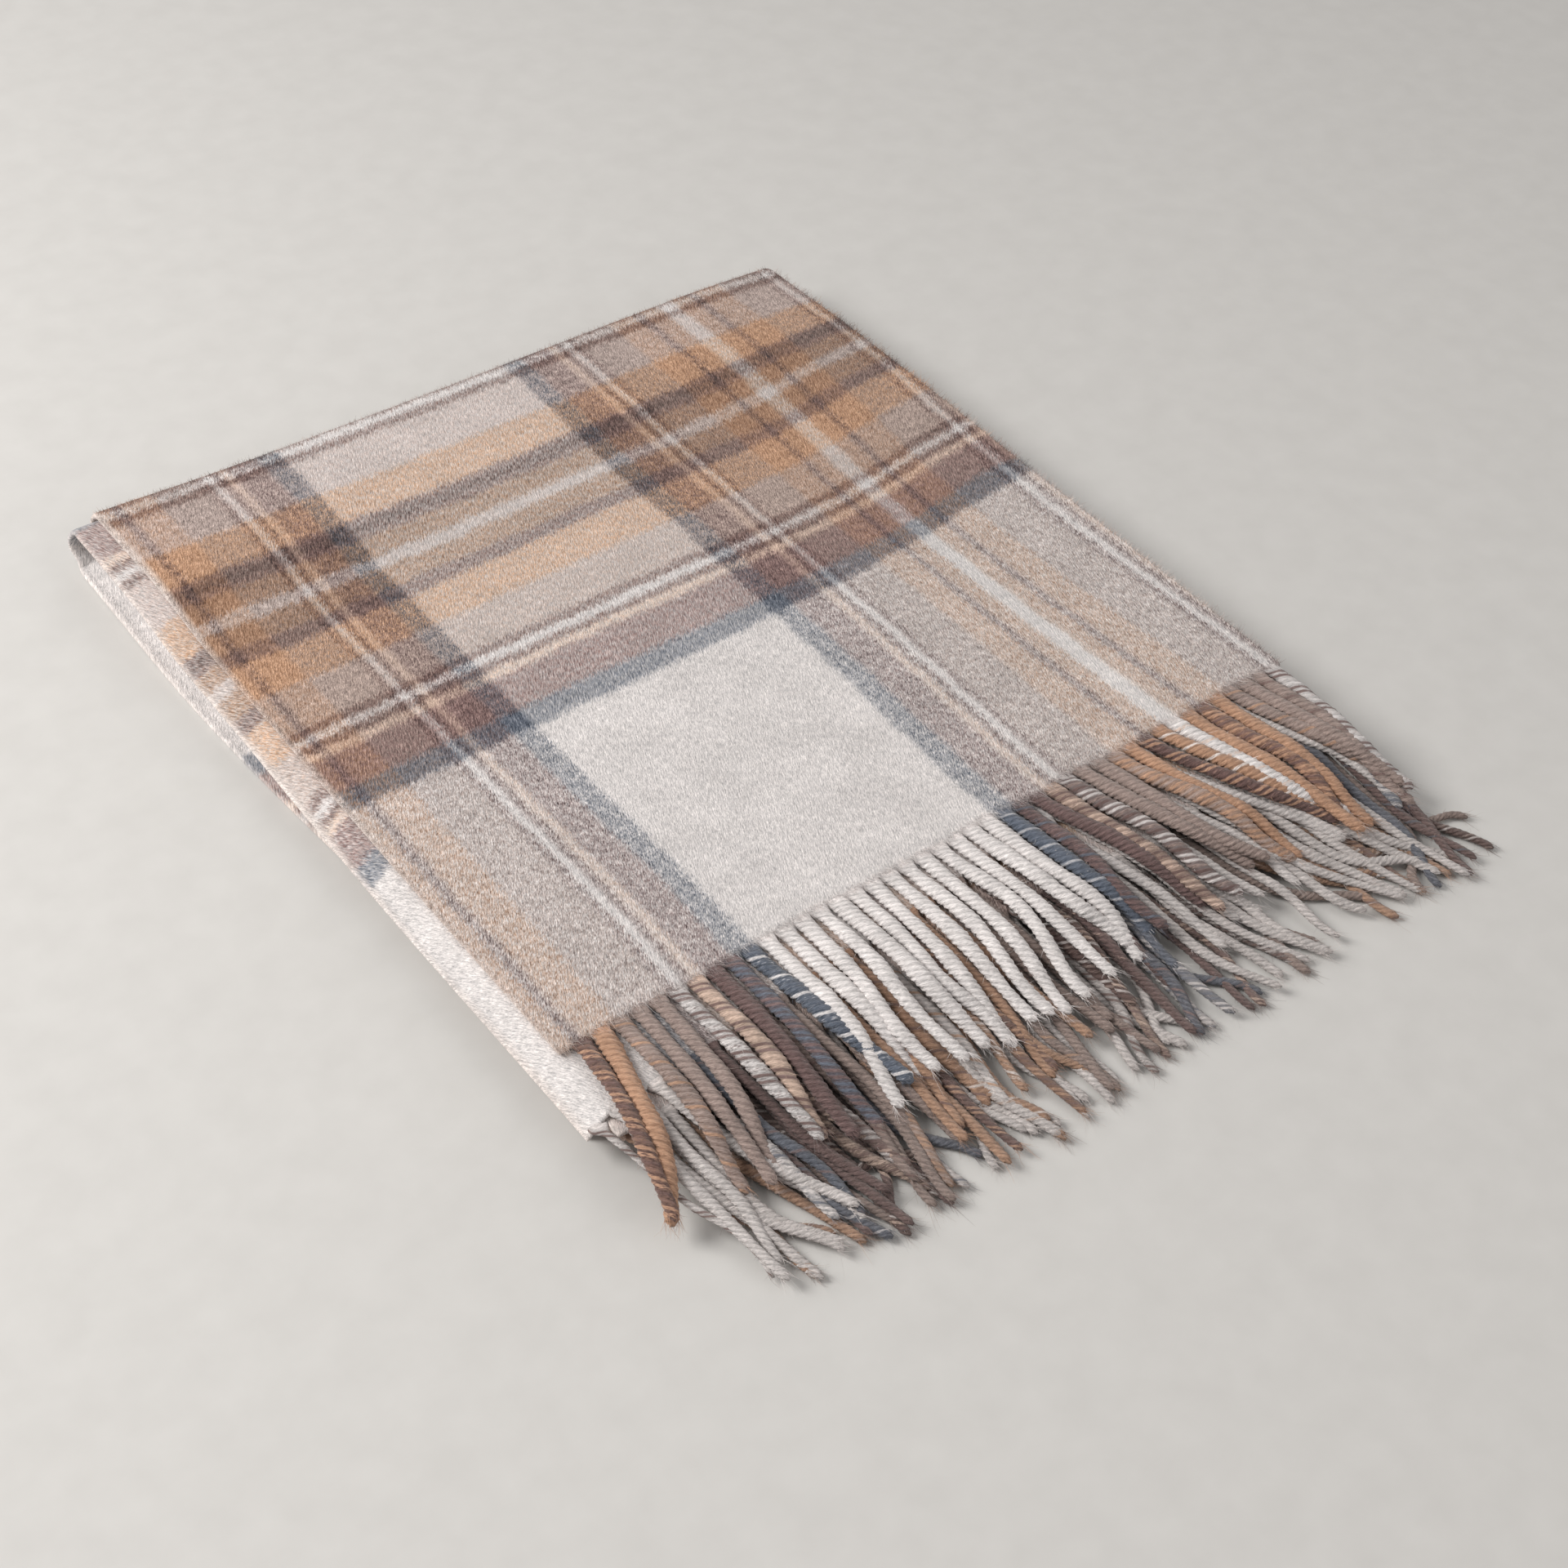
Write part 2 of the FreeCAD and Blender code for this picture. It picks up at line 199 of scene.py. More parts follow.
# ---------------------------------------------------------------- node graphs
class Graph:
    """Short calls for building a material's nodes."""

    def __init__(self, name):
        self.material = bpy.data.materials.new(name)
        self.material.use_nodes = True
        self.tree = self.material.node_tree
        self.shader = self.tree.nodes["Principled BSDF"]

    def node(self, kind, inputs=None, **settings):
        made = self.tree.nodes.new("ShaderNode" + kind)
        for key, value in settings.items():
            setattr(made, key, value)
        for key, value in (inputs or {}).items():
            self.give(made.inputs[key], value)
        return made

    def give(self, socket, value):
        if isinstance(value, bpy.types.NodeSocket):
            self.tree.links.new(value, socket)
        else:
            socket.default_value = value

    def math(self, operation, *values):
        return self.node("Math", dict(enumerate(values)), operation=operation).outputs[0]

    def vector_math(self, operation, *values):
        return self.node("VectorMath", dict(enumerate(values)), operation=operation).outputs[0]

    def scale(self, vector, factor):
        made = self.node("VectorMath", {0: vector}, operation="SCALE")
        self.give(made.inputs["Scale"], factor)
        return made.outputs[0]

    def total(self, *values):
        added = values[0]
        for value in values[1:]:
            added = self.math("ADD", added, value)
        return added

    def noise(self, vector, scale, detail=2.0, roughness=0.5):
        inputs = {"Vector": vector, "Scale": scale, "Detail": detail, "Roughness": roughness}
        return self.node("TexNoise", inputs).outputs

    def ramp(self, factor, stops, interpolation="LINEAR"):
        made = self.node("ValToRGB", {"Fac": factor})
        made.color_ramp.interpolation = interpolation
        elements = made.color_ramp.elements
        while len(elements) > 1:
            elements.remove(elements[-1])
        for index, (position, colour) in enumerate(stops):
            element = elements[0] if index == 0 else elements.new(position)
            element.position = position
            element.color = (*colour, 1.0)
        return made.outputs["Color"]

    def mix(self, factor, first, second):
        made = self.node("Mix", data_type="RGBA")
        self.give(made.inputs["Factor"], factor)
        self.give(made.inputs["A"], first)
        self.give(made.inputs["B"], second)
        return made.outputs["Result"]


def sett_stops(sett, colours, softness):
    """Colour stops of a sett between two mirror lines: the square roots of the yarn colours.

    Square roots stand nearer to what the eye sees, so that two crossed yarns mix evenly.
    """
    total = sett[-1][1]
    stops, start = [], 0.0
    for yarn, end in sett:
        colour = tuple(math.sqrt(c) for c in colours[yarn])
        edge = min(softness, (end - start) / 3)
        first = 0.0 if start == 0 else (start + edge) / total
        last = 1.0 if end == total else (end - edge) / total
        stops += [(first, colour), (last, colour)]
        start = end
    return stops


def sett_colour(graph, distance, mirror, sett, colours, softness):
    """The yarn's colour at a distance across the threads, as a square root."""
    half = sett[-1][1] * MM
    from_mirror = graph.math("PINGPONG", graph.math("SUBTRACT", distance, mirror), half)
    return graph.ramp(graph.math("DIVIDE", from_mirror, half), sett_stops(sett, colours, softness))


def combed(graph, uv, angle, length, width, seed=0.0):
    """Noise in short strokes: the fibres of a nap combed to one side."""
    place = graph.node("Mapping", {
        "Vector": uv, "Rotation": (0, 0, math.radians(angle)), "Scale": (length, width, 1),
        "Location": (seed, seed * 0.7, 0),
    }, vector_type="TEXTURE").outputs[0]
    return graph.noise(place, 1.0, 2.0, 0.6)


def spread(graph, noise, amount):
    """A noise value about zero, times an amount."""
    return graph.math("MULTIPLY", graph.math("SUBTRACT", noise, 0.5), amount)


def cloth_material():
    """Brushed wool: two setts of yarn crossed in a twill, under a nap combed one way."""
    g = Graph("brushed_tartan_wool")
    uv = g.node("UVMap", uv_map="yarn").outputs[0]
    stroke = combed(g, uv, 62, 2.3 * MM, 0.50 * MM)
    fleck = combed(g, uv, 57, 1.3 * MM, 0.30 * MM, seed=0.31)["Fac"]
    streak = combed(g, uv, 66, 3.6 * MM, 0.62 * MM, seed=0.83)["Fac"]
    clump = g.noise(uv, 300.0, 2.0, 0.6)["Fac"]

    # a fibre shows the colour of the thread it was raised from, a little way off
    wander = g.vector_math("SUBTRACT", g.noise(uv, 70.0, 3.0, 0.6)["Color"], (0.5, 0.5, 0.5))
    raised = g.vector_math("SUBTRACT", stroke["Color"], (0.5, 0.5, 0.5))
    moved = g.vector_math("MULTIPLY", wander, (4.0 * MM, 4.0 * MM, 0.0))
    moved = g.vector_math("ADD", moved, g.vector_math("MULTIPLY", raised, (9.0 * MM, 11.0 * MM, 0.0)))
    place = g.node("SeparateXYZ", {0: g.vector_math("ADD", uv, moved)}).outputs
    warp = sett_colour(g, place["X"], WARP_MIRROR, WARP_SETT, WARP_COLOURS, 1.3)
    nearer = sett_colour(g, place["Y"], WEFT_MIRROR, WEFT_SETT, WEFT_COLOURS, 1.5)
    beyond = sett_colour(g, place["Y"], WEFT_MIRROR, WEFT_SETT_BEYOND, WEFT_COLOURS, 1.5)
    repeat = 2 * WEFT_SETT[-1][1] * MM
    phase = g.math("FRACT", g.math("DIVIDE", g.math("SUBTRACT", place["Y"], WEFT_MIRROR), repeat))
    weft = g.mix(g.math("LESS_THAN", phase, 0.5), nearer, beyond)

    # which yarn's fibres lie on top, stroke by stroke
    share = g.total(spread(g, stroke["Fac"], 1.7), spread(g, clump, 0.7), spread(g, fleck, 1.1), WEFT_SHARE)
    share.node.use_clamp = True
    mixed = g.mix(share, warp, weft)

    # painted highlight: the selvedges are drawn a little lighter, as where their rounded edges catch the
    # light
    across = g.node("SeparateXYZ", {0: uv}).outputs["X"]
    from_edge = g.math("MINIMUM", across, g.math("SUBTRACT", CLOTH_WIDTH, across))
    edge = g.math("SUBTRACT", 0.75, g.math("DIVIDE", from_edge, 3.6 * MM))
    edge.node.use_clamp = True
    selvedge = [math.sqrt(c) for c in SELVEDGE_HIGHLIGHT]
    mixed = g.mix(edge, mixed, (*selvedge, 1.0))

    # light and dark fibres, then back from square roots to colours
    patch = spread(g, g.noise(uv, 42.0, 3.0, 0.6)["Fac"], 0.22)
    tone = g.total(spread(g, fleck, 0.30), spread(g, streak, 0.28), patch, 1.0)
    loose = g.total(spread(g, clump, 0.22), spread(g, streak, 0.62), spread(g, fleck, 0.50))
    contrast = g.math("SUBTRACT", 1.75, g.math("MULTIPLY", g.node("RGBToBW", {0: mixed}).outputs[0], 1.35))
    loose = g.math("MULTIPLY", loose, contrast)
    toned = g.vector_math("ADD", g.scale(mixed, tone), g.scale(LOOSE_TINT, loose))
    toned = g.vector_math("MAXIMUM", toned, DARKEST)
    g.give(g.shader.inputs["Base Color"], g.vector_math("MULTIPLY", toned, toned))

    height = g.total(g.math("MULTIPLY", stroke["Fac"], 0.5), g.math("MULTIPLY", fleck, 0.5),
                     g.math("MULTIPLY", clump, 0.5))
    bump = g.node("Bump", {"Height": height, "Strength": 0.9, "Distance": 1.0 * MM}).outputs[0]
    g.give(g.shader.inputs["Normal"], bump)
    g.give(g.shader.inputs["Roughness"], g.total(g.math("MULTIPLY", fleck, 0.2), 0.78))
    wool_gloss(g)
    return g.material


def wool_gloss(graph):
    graph.shader.inputs["Specular IOR Level"].default_value = 0.2
    graph.shader.inputs["Sheen Weight"].default_value = 0.22
    graph.shader.inputs["Sheen Roughness"].default_value = 0.55
    graph.shader.inputs["Sheen Tint"].default_value = (1.0, 0.96, 0.92, 1.0)


def tassel_material(yarn):
    """Twisted yarn: the warp's own colours, with fibres that wind along each strand."""
    g = Graph(yarn + "_tassel_yarn")
    uv = g.node("UVMap", uv_map="yarn").outputs[0]
    strand = g.node("UVMap", uv_map="strand").outputs[0]
    across = g.node("SeparateXYZ", {0: uv}).outputs["X"]
    around = g.math("DIVIDE", g.node("SeparateXYZ", {0: strand}).outputs["Y"], STRAND_WIDTH)
    crown = g.math("ABSOLUTE", g.math("COSINE", g.math("MULTIPLY", around, math.pi)))
    fibre = g.node("Mapping", {
        "Vector": strand, "Rotation": (0, 0, math.radians(12)), "Scale": (1.5 * MM, 0.32 * MM, 1),
    }, vector_type="TEXTURE").outputs[0]
    fibre = g.noise(fibre, 1.0, 2.0, 0.6)["Fac"]
    fluff = g.noise(strand, 900.0, 2.0, 0.6)["Fac"]
    drift = g.noise(uv, 90.0, 2.0, 0.5)["Fac"]
    place = g.total(across, spread(g, fluff, 3.0 * MM))
    number = g.math("MODULO", g.math("FLOOR", g.total(around, 0.5)), STRANDS)
    beside = g.math("MULTIPLY", g.math("SUBTRACT", number, 0.5 * (STRANDS - 1)), TASSEL_PITCH / STRANDS)
    main = sett_colour(g, place, WARP_MIRROR, WARP_SETT, WARP_COLOURS, 1.6)
    strand_colour = sett_colour(g, g.total(place, beside), WARP_MIRROR, WARP_SETT, WARP_COLOURS, 0.4)
    shown = g.math("MULTIPLY", g.total(crown, spread(g, fluff, 0.9), -0.45), 2.2)
    shown.node.use_clamp = True
    root = g.mix(g.math("MULTIPLY", shown, 0.85), main, strand_colour)

    # painted shade: the cords under other rows are drawn duller and darker, here and in the tone below, as if
    # shaded by the rows above them
    painted_shade_rows = g.math("FLOOR", g.math("DIVIDE", g.node("SeparateXYZ", {0: uv}).outputs["Y"], PAINTED_SHADE_ROW_STEP))
    painted_shade_rows = g.math("MINIMUM", painted_shade_rows, PAINTED_SHADE_LIMIT)
    root = g.mix(g.math("MULTIPLY", painted_shade_rows, 0.16), root, PAINTED_SHADE_YARN)
    # painted shade: the crown term draws the grooves between strands darker and the crowns lighter, here and
    # in the loose fibres below
    tone = g.total(spread(g, fibre, 0.45), spread(g, fluff, 0.45), spread(g, drift, 0.30),
                   g.math("MULTIPLY", crown, 0.15), g.math("MULTIPLY", painted_shade_rows, -0.075),
                   TASSEL_TONE[yarn] - 0.08)
    loose = g.total(spread(g, fluff, 0.22), g.math("MULTIPLY", crown, 0.03))
    toned = g.vector_math("ADD", g.scale(root, tone), g.scale(LOOSE_TINT, loose))
    toned = g.vector_math("MAXIMUM", toned, DARKEST)
    g.give(g.shader.inputs["Base Color"], g.vector_math("MULTIPLY", toned, toned))
    height = g.total(g.math("MULTIPLY", fibre, 0.5), g.math("MULTIPLY", fluff, 0.8),
                     g.math("MULTIPLY", crown, 0.5))
    bump = g.node("Bump", {"Height": height, "Strength": 0.8, "Distance": 0.6 * MM}).outputs[0]
    g.give(g.shader.inputs["Normal"], bump)
    g.give(g.shader.inputs["Roughness"], g.total(g.math("MULTIPLY", fibre, 0.2), 0.76))
    wool_gloss(g)
    return g.material


# ---------------------------------------------------------------- how the folded stack lies
DOME = 0.02                    # how much thicker the stack is in its middle
BACK_RISE = 0.15               # how much thicker it is at the back fold
CORNER_LOFT = 0.10             # and how much more the back fold stands open at -X
HOLLOW_DEPTH = 40 * MM         # how far the inner back fold sits inside the outer one at -X
HOLLOW_REACH = 30 * MM         # how far in from -X that goes on
LOOP_BULGE = 2.5 * MM          # how far the outer loop stands back
TIP_BULGE = 3.5 * MM           # and how much further at -X
REACH_BEHIND = {1: 3.5, 2: -6.0, 3: -6.0, 4: 4.5}     # mm past the ledge's own width, at the back fold
REACH_AHEAD = {1: 1.5, 2: -6.0, 3: -7.0, 4: -3.0}     # and at the front
DROOP_BEHIND = {1: 3.2, 2: 2.6, 3: 1.2, 4: 2.7}       # mm that each leaf's ledge hangs down, at the back
DROOP_AHEAD = {1: 6.5, 2: 3.0, 3: 1.2, 4: 2.7}        # and at the front
CORNER_ROUND = 11 * MM         # radius of the stack's corner at +X and the back fold, seen from above


def lie(x, y, z, leaf, breadth_left, outer):
    """Where a point of the neatly stacked cloth really lies, with the stack's slack and settling.

    leaf is the leaf's number, with a fraction on a fold. breadth_left is 0 on the upper breadth and 1 on
    the lower one. outer is true for the outer loop: leaves 1 and 4 and the outer back fold.
    """
    from_left = np.maximum(x - LOWER_LEFT, 0)
    from_right = np.maximum(RIGHT_END + HALF_PITCH - x, 0)
    from_back = BACK_Y + OUTER_RADIUS - y
    to_front = smooth((BACK_Y - y) / (BACK_Y - LEAF_TWO_EDGE))
    leaves = (1, 4) if outer else (2, 3, 4)

    def by_leaf(behind, ahead):
        near, far = (np.interp(leaf, leaves, [values[n] for n in leaves]) * MM
                     for values in (behind, ahead))
        return near + (far - near) * smooth(to_front * 1.3)

    # the inner back fold sits further in at -X and leaves a hollow; the outer one stands back
    if outer:
        bulge = LOOP_BULGE + TIP_BULGE * bell(from_left, 45 * MM)
        y = y + bulge * smooth(1 - from_back / (60 * MM))
    else:
        pull = HOLLOW_DEPTH * bell(from_left, HOLLOW_REACH)
        y = y - pull * smooth((y - BACK_Y + 110 * MM) / (110 * MM))

    # the stack's height: a dome, pressed at the edges, thicker where it turns at the back fold
    inside = [smooth(distance / (60 * MM)) for distance in (from_left, from_right, from_back)]
    middle = inside[0] * inside[1] * inside[2]
    rise = smooth((y - BACK_Y + 92 * MM) / (52 * MM))
    rise = rise * (BACK_RISE * smooth(from_right / (90 * MM) + 0.3) + CORNER_LOFT * bell(from_left, 120 * MM))
    waves = 0.008 * ripple(x, y, 11, 0.15)
    z = z * (1 + DOME * middle + rise + np.maximum(waves, -0.004))

    # the corner at +X is rounded in plan
    skin = HALF_PITCH + HALF_CLOTH
    a = np.clip(1 - (RIGHT_END + skin - x) / CORNER_ROUND, 0, 1)
    b = np.clip(1 - (BACK_Y + OUTER_RADIUS + skin + LOOP_BULGE - y) / CORNER_ROUND, 0, 1)
    beyond = np.maximum(np.hypot(a, b), 1)
    x = x - CORNER_ROUND * (a - a / beyond)
    y = y - CORNER_ROUND * (b - b / beyond)

    # the free edges at -X: each leaf stands in or out, and the lower breadth's ledge hangs down
    near_left = bell(from_left, 22 * MM)
    wave = ripple(y, leaf * 0.09, 5, 0.20) * 0.9 * MM
    reach = by_leaf(REACH_BEHIND, REACH_AHEAD)
    x = x - near_left * np.where(breadth_left > 0.5, wave + reach, 0.4 * wave)
    x = x + bell(from_right, 12 * MM) * ripple(y, leaf * 0.11, 8, 0.25) * 1.0 * MM
    ledge = np.clip((UPPER_LEFT + 1 * MM - x) / (9 * MM), 0, 1) * (breadth_left > 0.5)
    closed = np.where(leaf > 3.5, 1.0, 1 - bell(np.maximum(from_back - 14 * MM, 0), 40 * MM))
    z = z - by_leaf(DROOP_BEHIND, DROOP_AHEAD) * ledge ** 1.4 * closed
    return x, y, np.maximum(z, 0.1 * MM)


def fringe_wave(x, leaf):
    """How far a fringed edge strays from straight, along Y."""
    return 0.7 * MM * ripple(x, 0.3 * leaf + 0 * x, 31, 0.05)


def strip_columns():
    """Across the doubled strip: x, offset from the strip's middle, outward normal, u, and breadth."""
    edge = np.array([0.0, 0.12, 0.45, 1.2]) * MM
    flat = np.linspace(UPPER_LEFT + 4 * MM, RIGHT_END, 74)
    upper_x = np.concatenate([UPPER_LEFT + edge, [UPPER_LEFT + 2.5 * MM], flat])
    flat = np.linspace(RIGHT_END, LOWER_LEFT + 12 * MM, 72)
    ledge = LOWER_LEFT + np.array([10, 8, 6, 4, 2.5]) * MM
    lower_x = np.concatenate([flat, ledge, LOWER_LEFT + edge[::-1]])
    angle = np.linspace(0, math.pi, 9)[1:-1]
    x = np.concatenate([upper_x, RIGHT_END + HALF_PITCH * np.sin(angle), lower_x])
    w = np.concatenate([
        np.full(len(upper_x), HALF_PITCH), HALF_PITCH * np.cos(angle), np.full(len(lower_x), -HALF_PITCH),
    ])
    nx = np.concatenate([np.zeros(len(upper_x)), np.sin(angle), np.zeros(len(lower_x))])
    nw = np.concatenate([np.ones(len(upper_x)), np.cos(angle), -np.ones(len(lower_x))])
    u = np.concatenate([
        upper_x - UPPER_LEFT, UPPER_WIDTH + HALF_PITCH * angle, UPPER_WIDTH + SIDE_TURN + RIGHT_END - lower_x,
    ])
    from_edge = np.minimum(u, CLOTH_WIDTH - u)
    rounding = np.sqrt(np.clip(1 - (1 - from_edge / HALF_CLOTH) ** 2, 0.02, 1))
    rounding = np.where(from_edge >= HALF_CLOTH, 1.0, rounding)
    lower = (np.arange(len(x)) >= len(upper_x) + len(angle) // 2).astype(float)
    return x, w, nx, nw, u, rounding, lower


def leaf_rows(leaf, start_y, end_y, start_v, rows, fringed=False):
    """Rows of one flat leaf, from start_y to end_y. A fringed leaf starts or ends in a rounded edge."""
    t = np.linspace(0, 1, rows)
    if fringed:
        length = abs(end_y - start_y)
        fine = np.array([0.0, 0.12, 0.45, 1.2, 2.6, 5.0]) * MM / length
        t = np.concatenate([fine, t[2:]])
        if fringed == "end":
            t = 1 - t[::-1]
    y = start_y + t * (end_y - start_y)
    up = 1.0 if leaf in (1, 3) else -1.0
    count = len(y)
    return {
        "y": y, "z": np.full(count, STRIP_Z[leaf]), "ny": np.zeros(count), "nz": np.full(count, up),
        "v": start_v + t * abs(end_y - start_y), "leaf": np.full(count, float(leaf)),
    }


def fold_rows(centre_y, centre_z, radius, first, last, outward, start_v, rows, leaves):
    """Rows round a cross fold, from one angle to another about its centre and from one leaf to the next."""
    angle = np.radians(np.linspace(first, last, rows))
    return {
        "y": centre_y + radius * np.cos(angle), "z": centre_z + radius * np.sin(angle),
        "ny": outward * np.cos(angle), "nz": outward * np.sin(angle),
        "v": start_v + radius * np.abs(angle - angle[0]), "leaf": np.linspace(*leaves, rows),
    }


def join_rows(*parts):
    joined = {}
    for key in parts[0]:
        joined[key] = np.concatenate([part[key][(0 if i == 0 else 1):] for i, part in enumerate(parts)])
    return joined


def cloth_piece(name, rows, outer, ends, material):
    """A closed mesh of the doubled strip along some rows, with its slack and its rounded edges.

    ends says whether the first and last rows are a fringed edge of the cloth or a seam.
    """
    x, w, nx, nw, u, side_round, lower = strip_columns()
    y, z, ny, nz, v, leaf = (rows[key][:, None] for key in ("y", "z", "ny", "nz", "v", "leaf"))
    end_round = np.ones(len(rows["y"]))
    for end, row_v in zip(ends, (rows["v"][0], rows["v"][-1])):
        if end == "fringe":
            depth = np.abs(rows["v"] - row_v) / HALF_CLOTH
            end_round = np.where(depth < 1, np.sqrt(np.clip(1 - (1 - depth) ** 2, 0.02, 1)), end_round)

    # the lower breadth lies askew: its threads run forward towards -X, and so does its top fringed edge
    slant = STEP * lower * np.clip((RIGHT_END - x) / LOWER_WIDTH, 0, 1)
    front = np.clip((BACK_Y - y) / (BACK_Y - LEAF_ONE_EDGE), 0, 1) * (leaf == 1)
    askew = np.clip((CLOTH_LENGTH - v) / (CLOTH_LENGTH / 2), 0, 1)
    y = y - slant * front + fringe_wave(x, leaf) * bell(np.minimum(v, CLOTH_LENGTH - v), 20 * MM)
    v = v - slant * front + slant * askew
    half = HALF_CLOTH * side_round * end_round[:, None]
    faces = []
    for side in (1, -1):
        offset = w + side * half * nw
        across = x + side * half * nx + 0 * y
        place = lie(across, y + offset * ny, z + offset * nz, leaf + 0 * across, lower + 0 * y, outer)
        faces.append(np.stack(place, -1))
    count_v, count_u = faces[0].shape[:2]
    points = np.concatenate([f.reshape(-1, 3) for f in faces])

    index = np.arange(count_v * count_u).reshape(count_v, count_u)
    back = index + count_v * count_u
    outside = np.stack([index[:-1, :-1], index[:-1, 1:], index[1:, 1:], index[1:, :-1]], -1).reshape(-1, 4)
    inside = np.stack([back[:-1, :-1], back[1:, :-1], back[1:, 1:], back[:-1, 1:]], -1).reshape(-1, 4)
    rims = []
    for first, second in ((index[:, 0], back[:, 0]), (back[:, -1], index[:, -1])):
        rims.append(np.stack([first[:-1], first[1:], second[1:], second[:-1]], -1))
    for first, second in ((back[0], index[0]), (index[-1], back[-1])):
        rims.append(np.stack([first[:-1], first[1:], second[1:], second[:-1]], -1))
    quads = np.concatenate([outside, inside, *rims])
    if outward_is_inside(points, quads):
        quads = quads[:, ::-1]
    yarn = np.stack(pattern_drift(u + 0 * v, v + 0 * u), -1).reshape(-1, 2)
    yarn = np.concatenate([yarn, yarn])
    return new_mesh(name, points, quads, {"yarn": yarn[quads.ravel()]}, material, sharp=70)


def outward_is_inside(points, quads):
    """True where a closed mesh's faces point inwards, which makes its signed volume negative."""
    a, b, c, d = (points[quads[:, i]] for i in range(4))
    volume = (a * np.cross(b, c)).sum() + (a * np.cross(c, d)).sum()
    return volume < 0


def pattern_drift(u, v):
    """Small shifts of the threads from straight, where the cloth was pulled as it was folded."""
    on_top = smooth(v / (110 * MM)) * (1 - smooth((v - 250 * MM) / (110 * MM)))
    bowed_v = v - 13 * MM * bell(u - UPPER_WIDTH, 60 * MM) * on_top
    bowed_u = u + 7 * MM * bell(v - 130 * MM, 90 * MM) * bell(u - 315 * MM, 50 * MM)
    bowed_u = bowed_u + 0.9 * MM * ripple(u, v, 21, 0.14)
    bowed_v = bowed_v + 1.1 * MM * ripple(u, v, 22, 0.16)
    return bowed_u, bowed_v


# ---------------------------------------------------------------- the four lengths of cloth
def make_cloth(wool):
    v = 0.0
    leaf_one = leaf_rows(1, LEAF_ONE_EDGE, BACK_Y, v, 74, fringed="start")
    v += LENGTH_ONE
    outer_fold = fold_rows(BACK_Y, BACK_Z, OUTER_RADIUS, 90, -90, 1, v, 25, (1, 4))
    v += OUTER_TURN
    leaf_four = leaf_rows(4, BACK_Y, FRONT_Y, v, 76)
    v += LENGTH_LOW
    front_fold = fold_rows(FRONT_Y, FRONT_Z, INNER_RADIUS, -90, -270, 1, v, 15, (4, 3))
    v += INNER_TURN
    leaf_three = leaf_rows(3, FRONT_Y, BACK_Y, v, 76)
    v += LENGTH_LOW
    inner_fold = fold_rows(BACK_Y, BACK_Z, INNER_RADIUS, -90, 90, -1, v, 15, (3, 2))
    v += INNER_TURN
    leaf_two = leaf_rows(2, BACK_Y, LEAF_TWO_EDGE, v, 78, fringed="end")

    outer_loop = cloth_piece(
        "cloth_outer_loop", join_rows(leaf_one, outer_fold, leaf_four), True, ("fringe", "seam"), wool)
    lower_inside = cloth_piece(
        "cloth_front_fold_and_leaf_three", join_rows(front_fold, leaf_three), False, ("seam", "seam"), wool)
    turn_inside = cloth_piece("cloth_inner_back_fold", inner_fold, False, ("seam", "seam"), wool)
    upper_inside = cloth_piece("cloth_leaf_two", leaf_two, False, ("seam", "fringe"), wool)

    both = ("upper_breadth", "lower_breadth")
    leaf_parts = both + ("side_fold",)
    fold_parts = both + ("corner",)
    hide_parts(*(f"leaf_{leaf}_{part}" for leaf in (1, 4) for part in leaf_parts),
                *(f"outer_back_fold_{part}" for part in fold_parts))
    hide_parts(*(f"leaf_3_{part}" for part in leaf_parts),
                *(f"front_fold_{part}" for part in fold_parts))
    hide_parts(*(f"inner_back_fold_{part}" for part in fold_parts))
    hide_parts(*(f"leaf_2_{part}" for part in leaf_parts))

    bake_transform(outer_loop)
    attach(lower_inside, "lower_half")
    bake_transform(turn_inside)
    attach(upper_inside, "upper_half")
    flats = {
        outer_loop: LENGTH_ONE + OUTER_TURN + LENGTH_LOW,
        lower_inside: INNER_TURN + LENGTH_LOW,
        turn_inside: max(INNER_TURN, 10 * MM),
        upper_inside: LENGTH_TWO,
    }
    return outer_loop, lower_inside, turn_inside, upper_inside, flats


# ---------------------------------------------------------------- tassels
YARN_LIMITS = [("white", 5.0), ("camel", 33.0), ("taupe", 53.0), ("brown", 82.0), ("blue", 92.7)]
WIDE_STRIPE_YARN = "white"
THIN_LINE = 59 * MM            # a thin white line between two dark ones, from a mirror line
YARNS = ("white", "camel", "taupe", "brown", "blue")
TASSEL_TONE = {"white": 1.0, "camel": 1.02, "taupe": 0.96, "brown": 0.91, "blue": 1.02}
TASSEL_PITCH = 8.3 * MM
TASSEL_LENGTH = 86 * MM
ROW_STAGGER = {(1, "upper"): 0.0, (1, "lower"): 0.5, (2, "lower"): 0.0, (2, "upper"): 0.5}
ROW_ORDER = [(2, "upper"), (2, "lower"), (1, "lower"), (1, "upper")]      # from the bottom row to the top
CORD_RADIUS = (2.30, 2.35, 2.55, 3.3)      # mm, of each row, from the bottom one to the top one
FLATNESS = 0.72                # height of a cord over its width
STRANDS = 4
STRAND_WIDTH = 4.6 * MM        # round a cord
TWIST_PITCH = 11.5 * MM
RIDGE = 0.11                   # how far the strands stand out, over the radius
WEB_LENGTH = 5 * MM            # a tassel starts as a flat web, as wide as its share of the edge
RINGS = 116
AROUND = 16
FIBRE_ROWS = 4
FIBRE_WIDTH = 0.13 * MM
ROOT_OVERLAP = 1.3 * MM        # how far a tassel starts inside the cloth
PAINTED_SHADE_ROW_STEP = 0.2                # added to a cord's second "yarn" coordinate for each row above it, which the tassel material turns into painted shade
PAINTED_SHADE_LIMIT = 1.4              # rows above, past which a cord gets no more painted shade


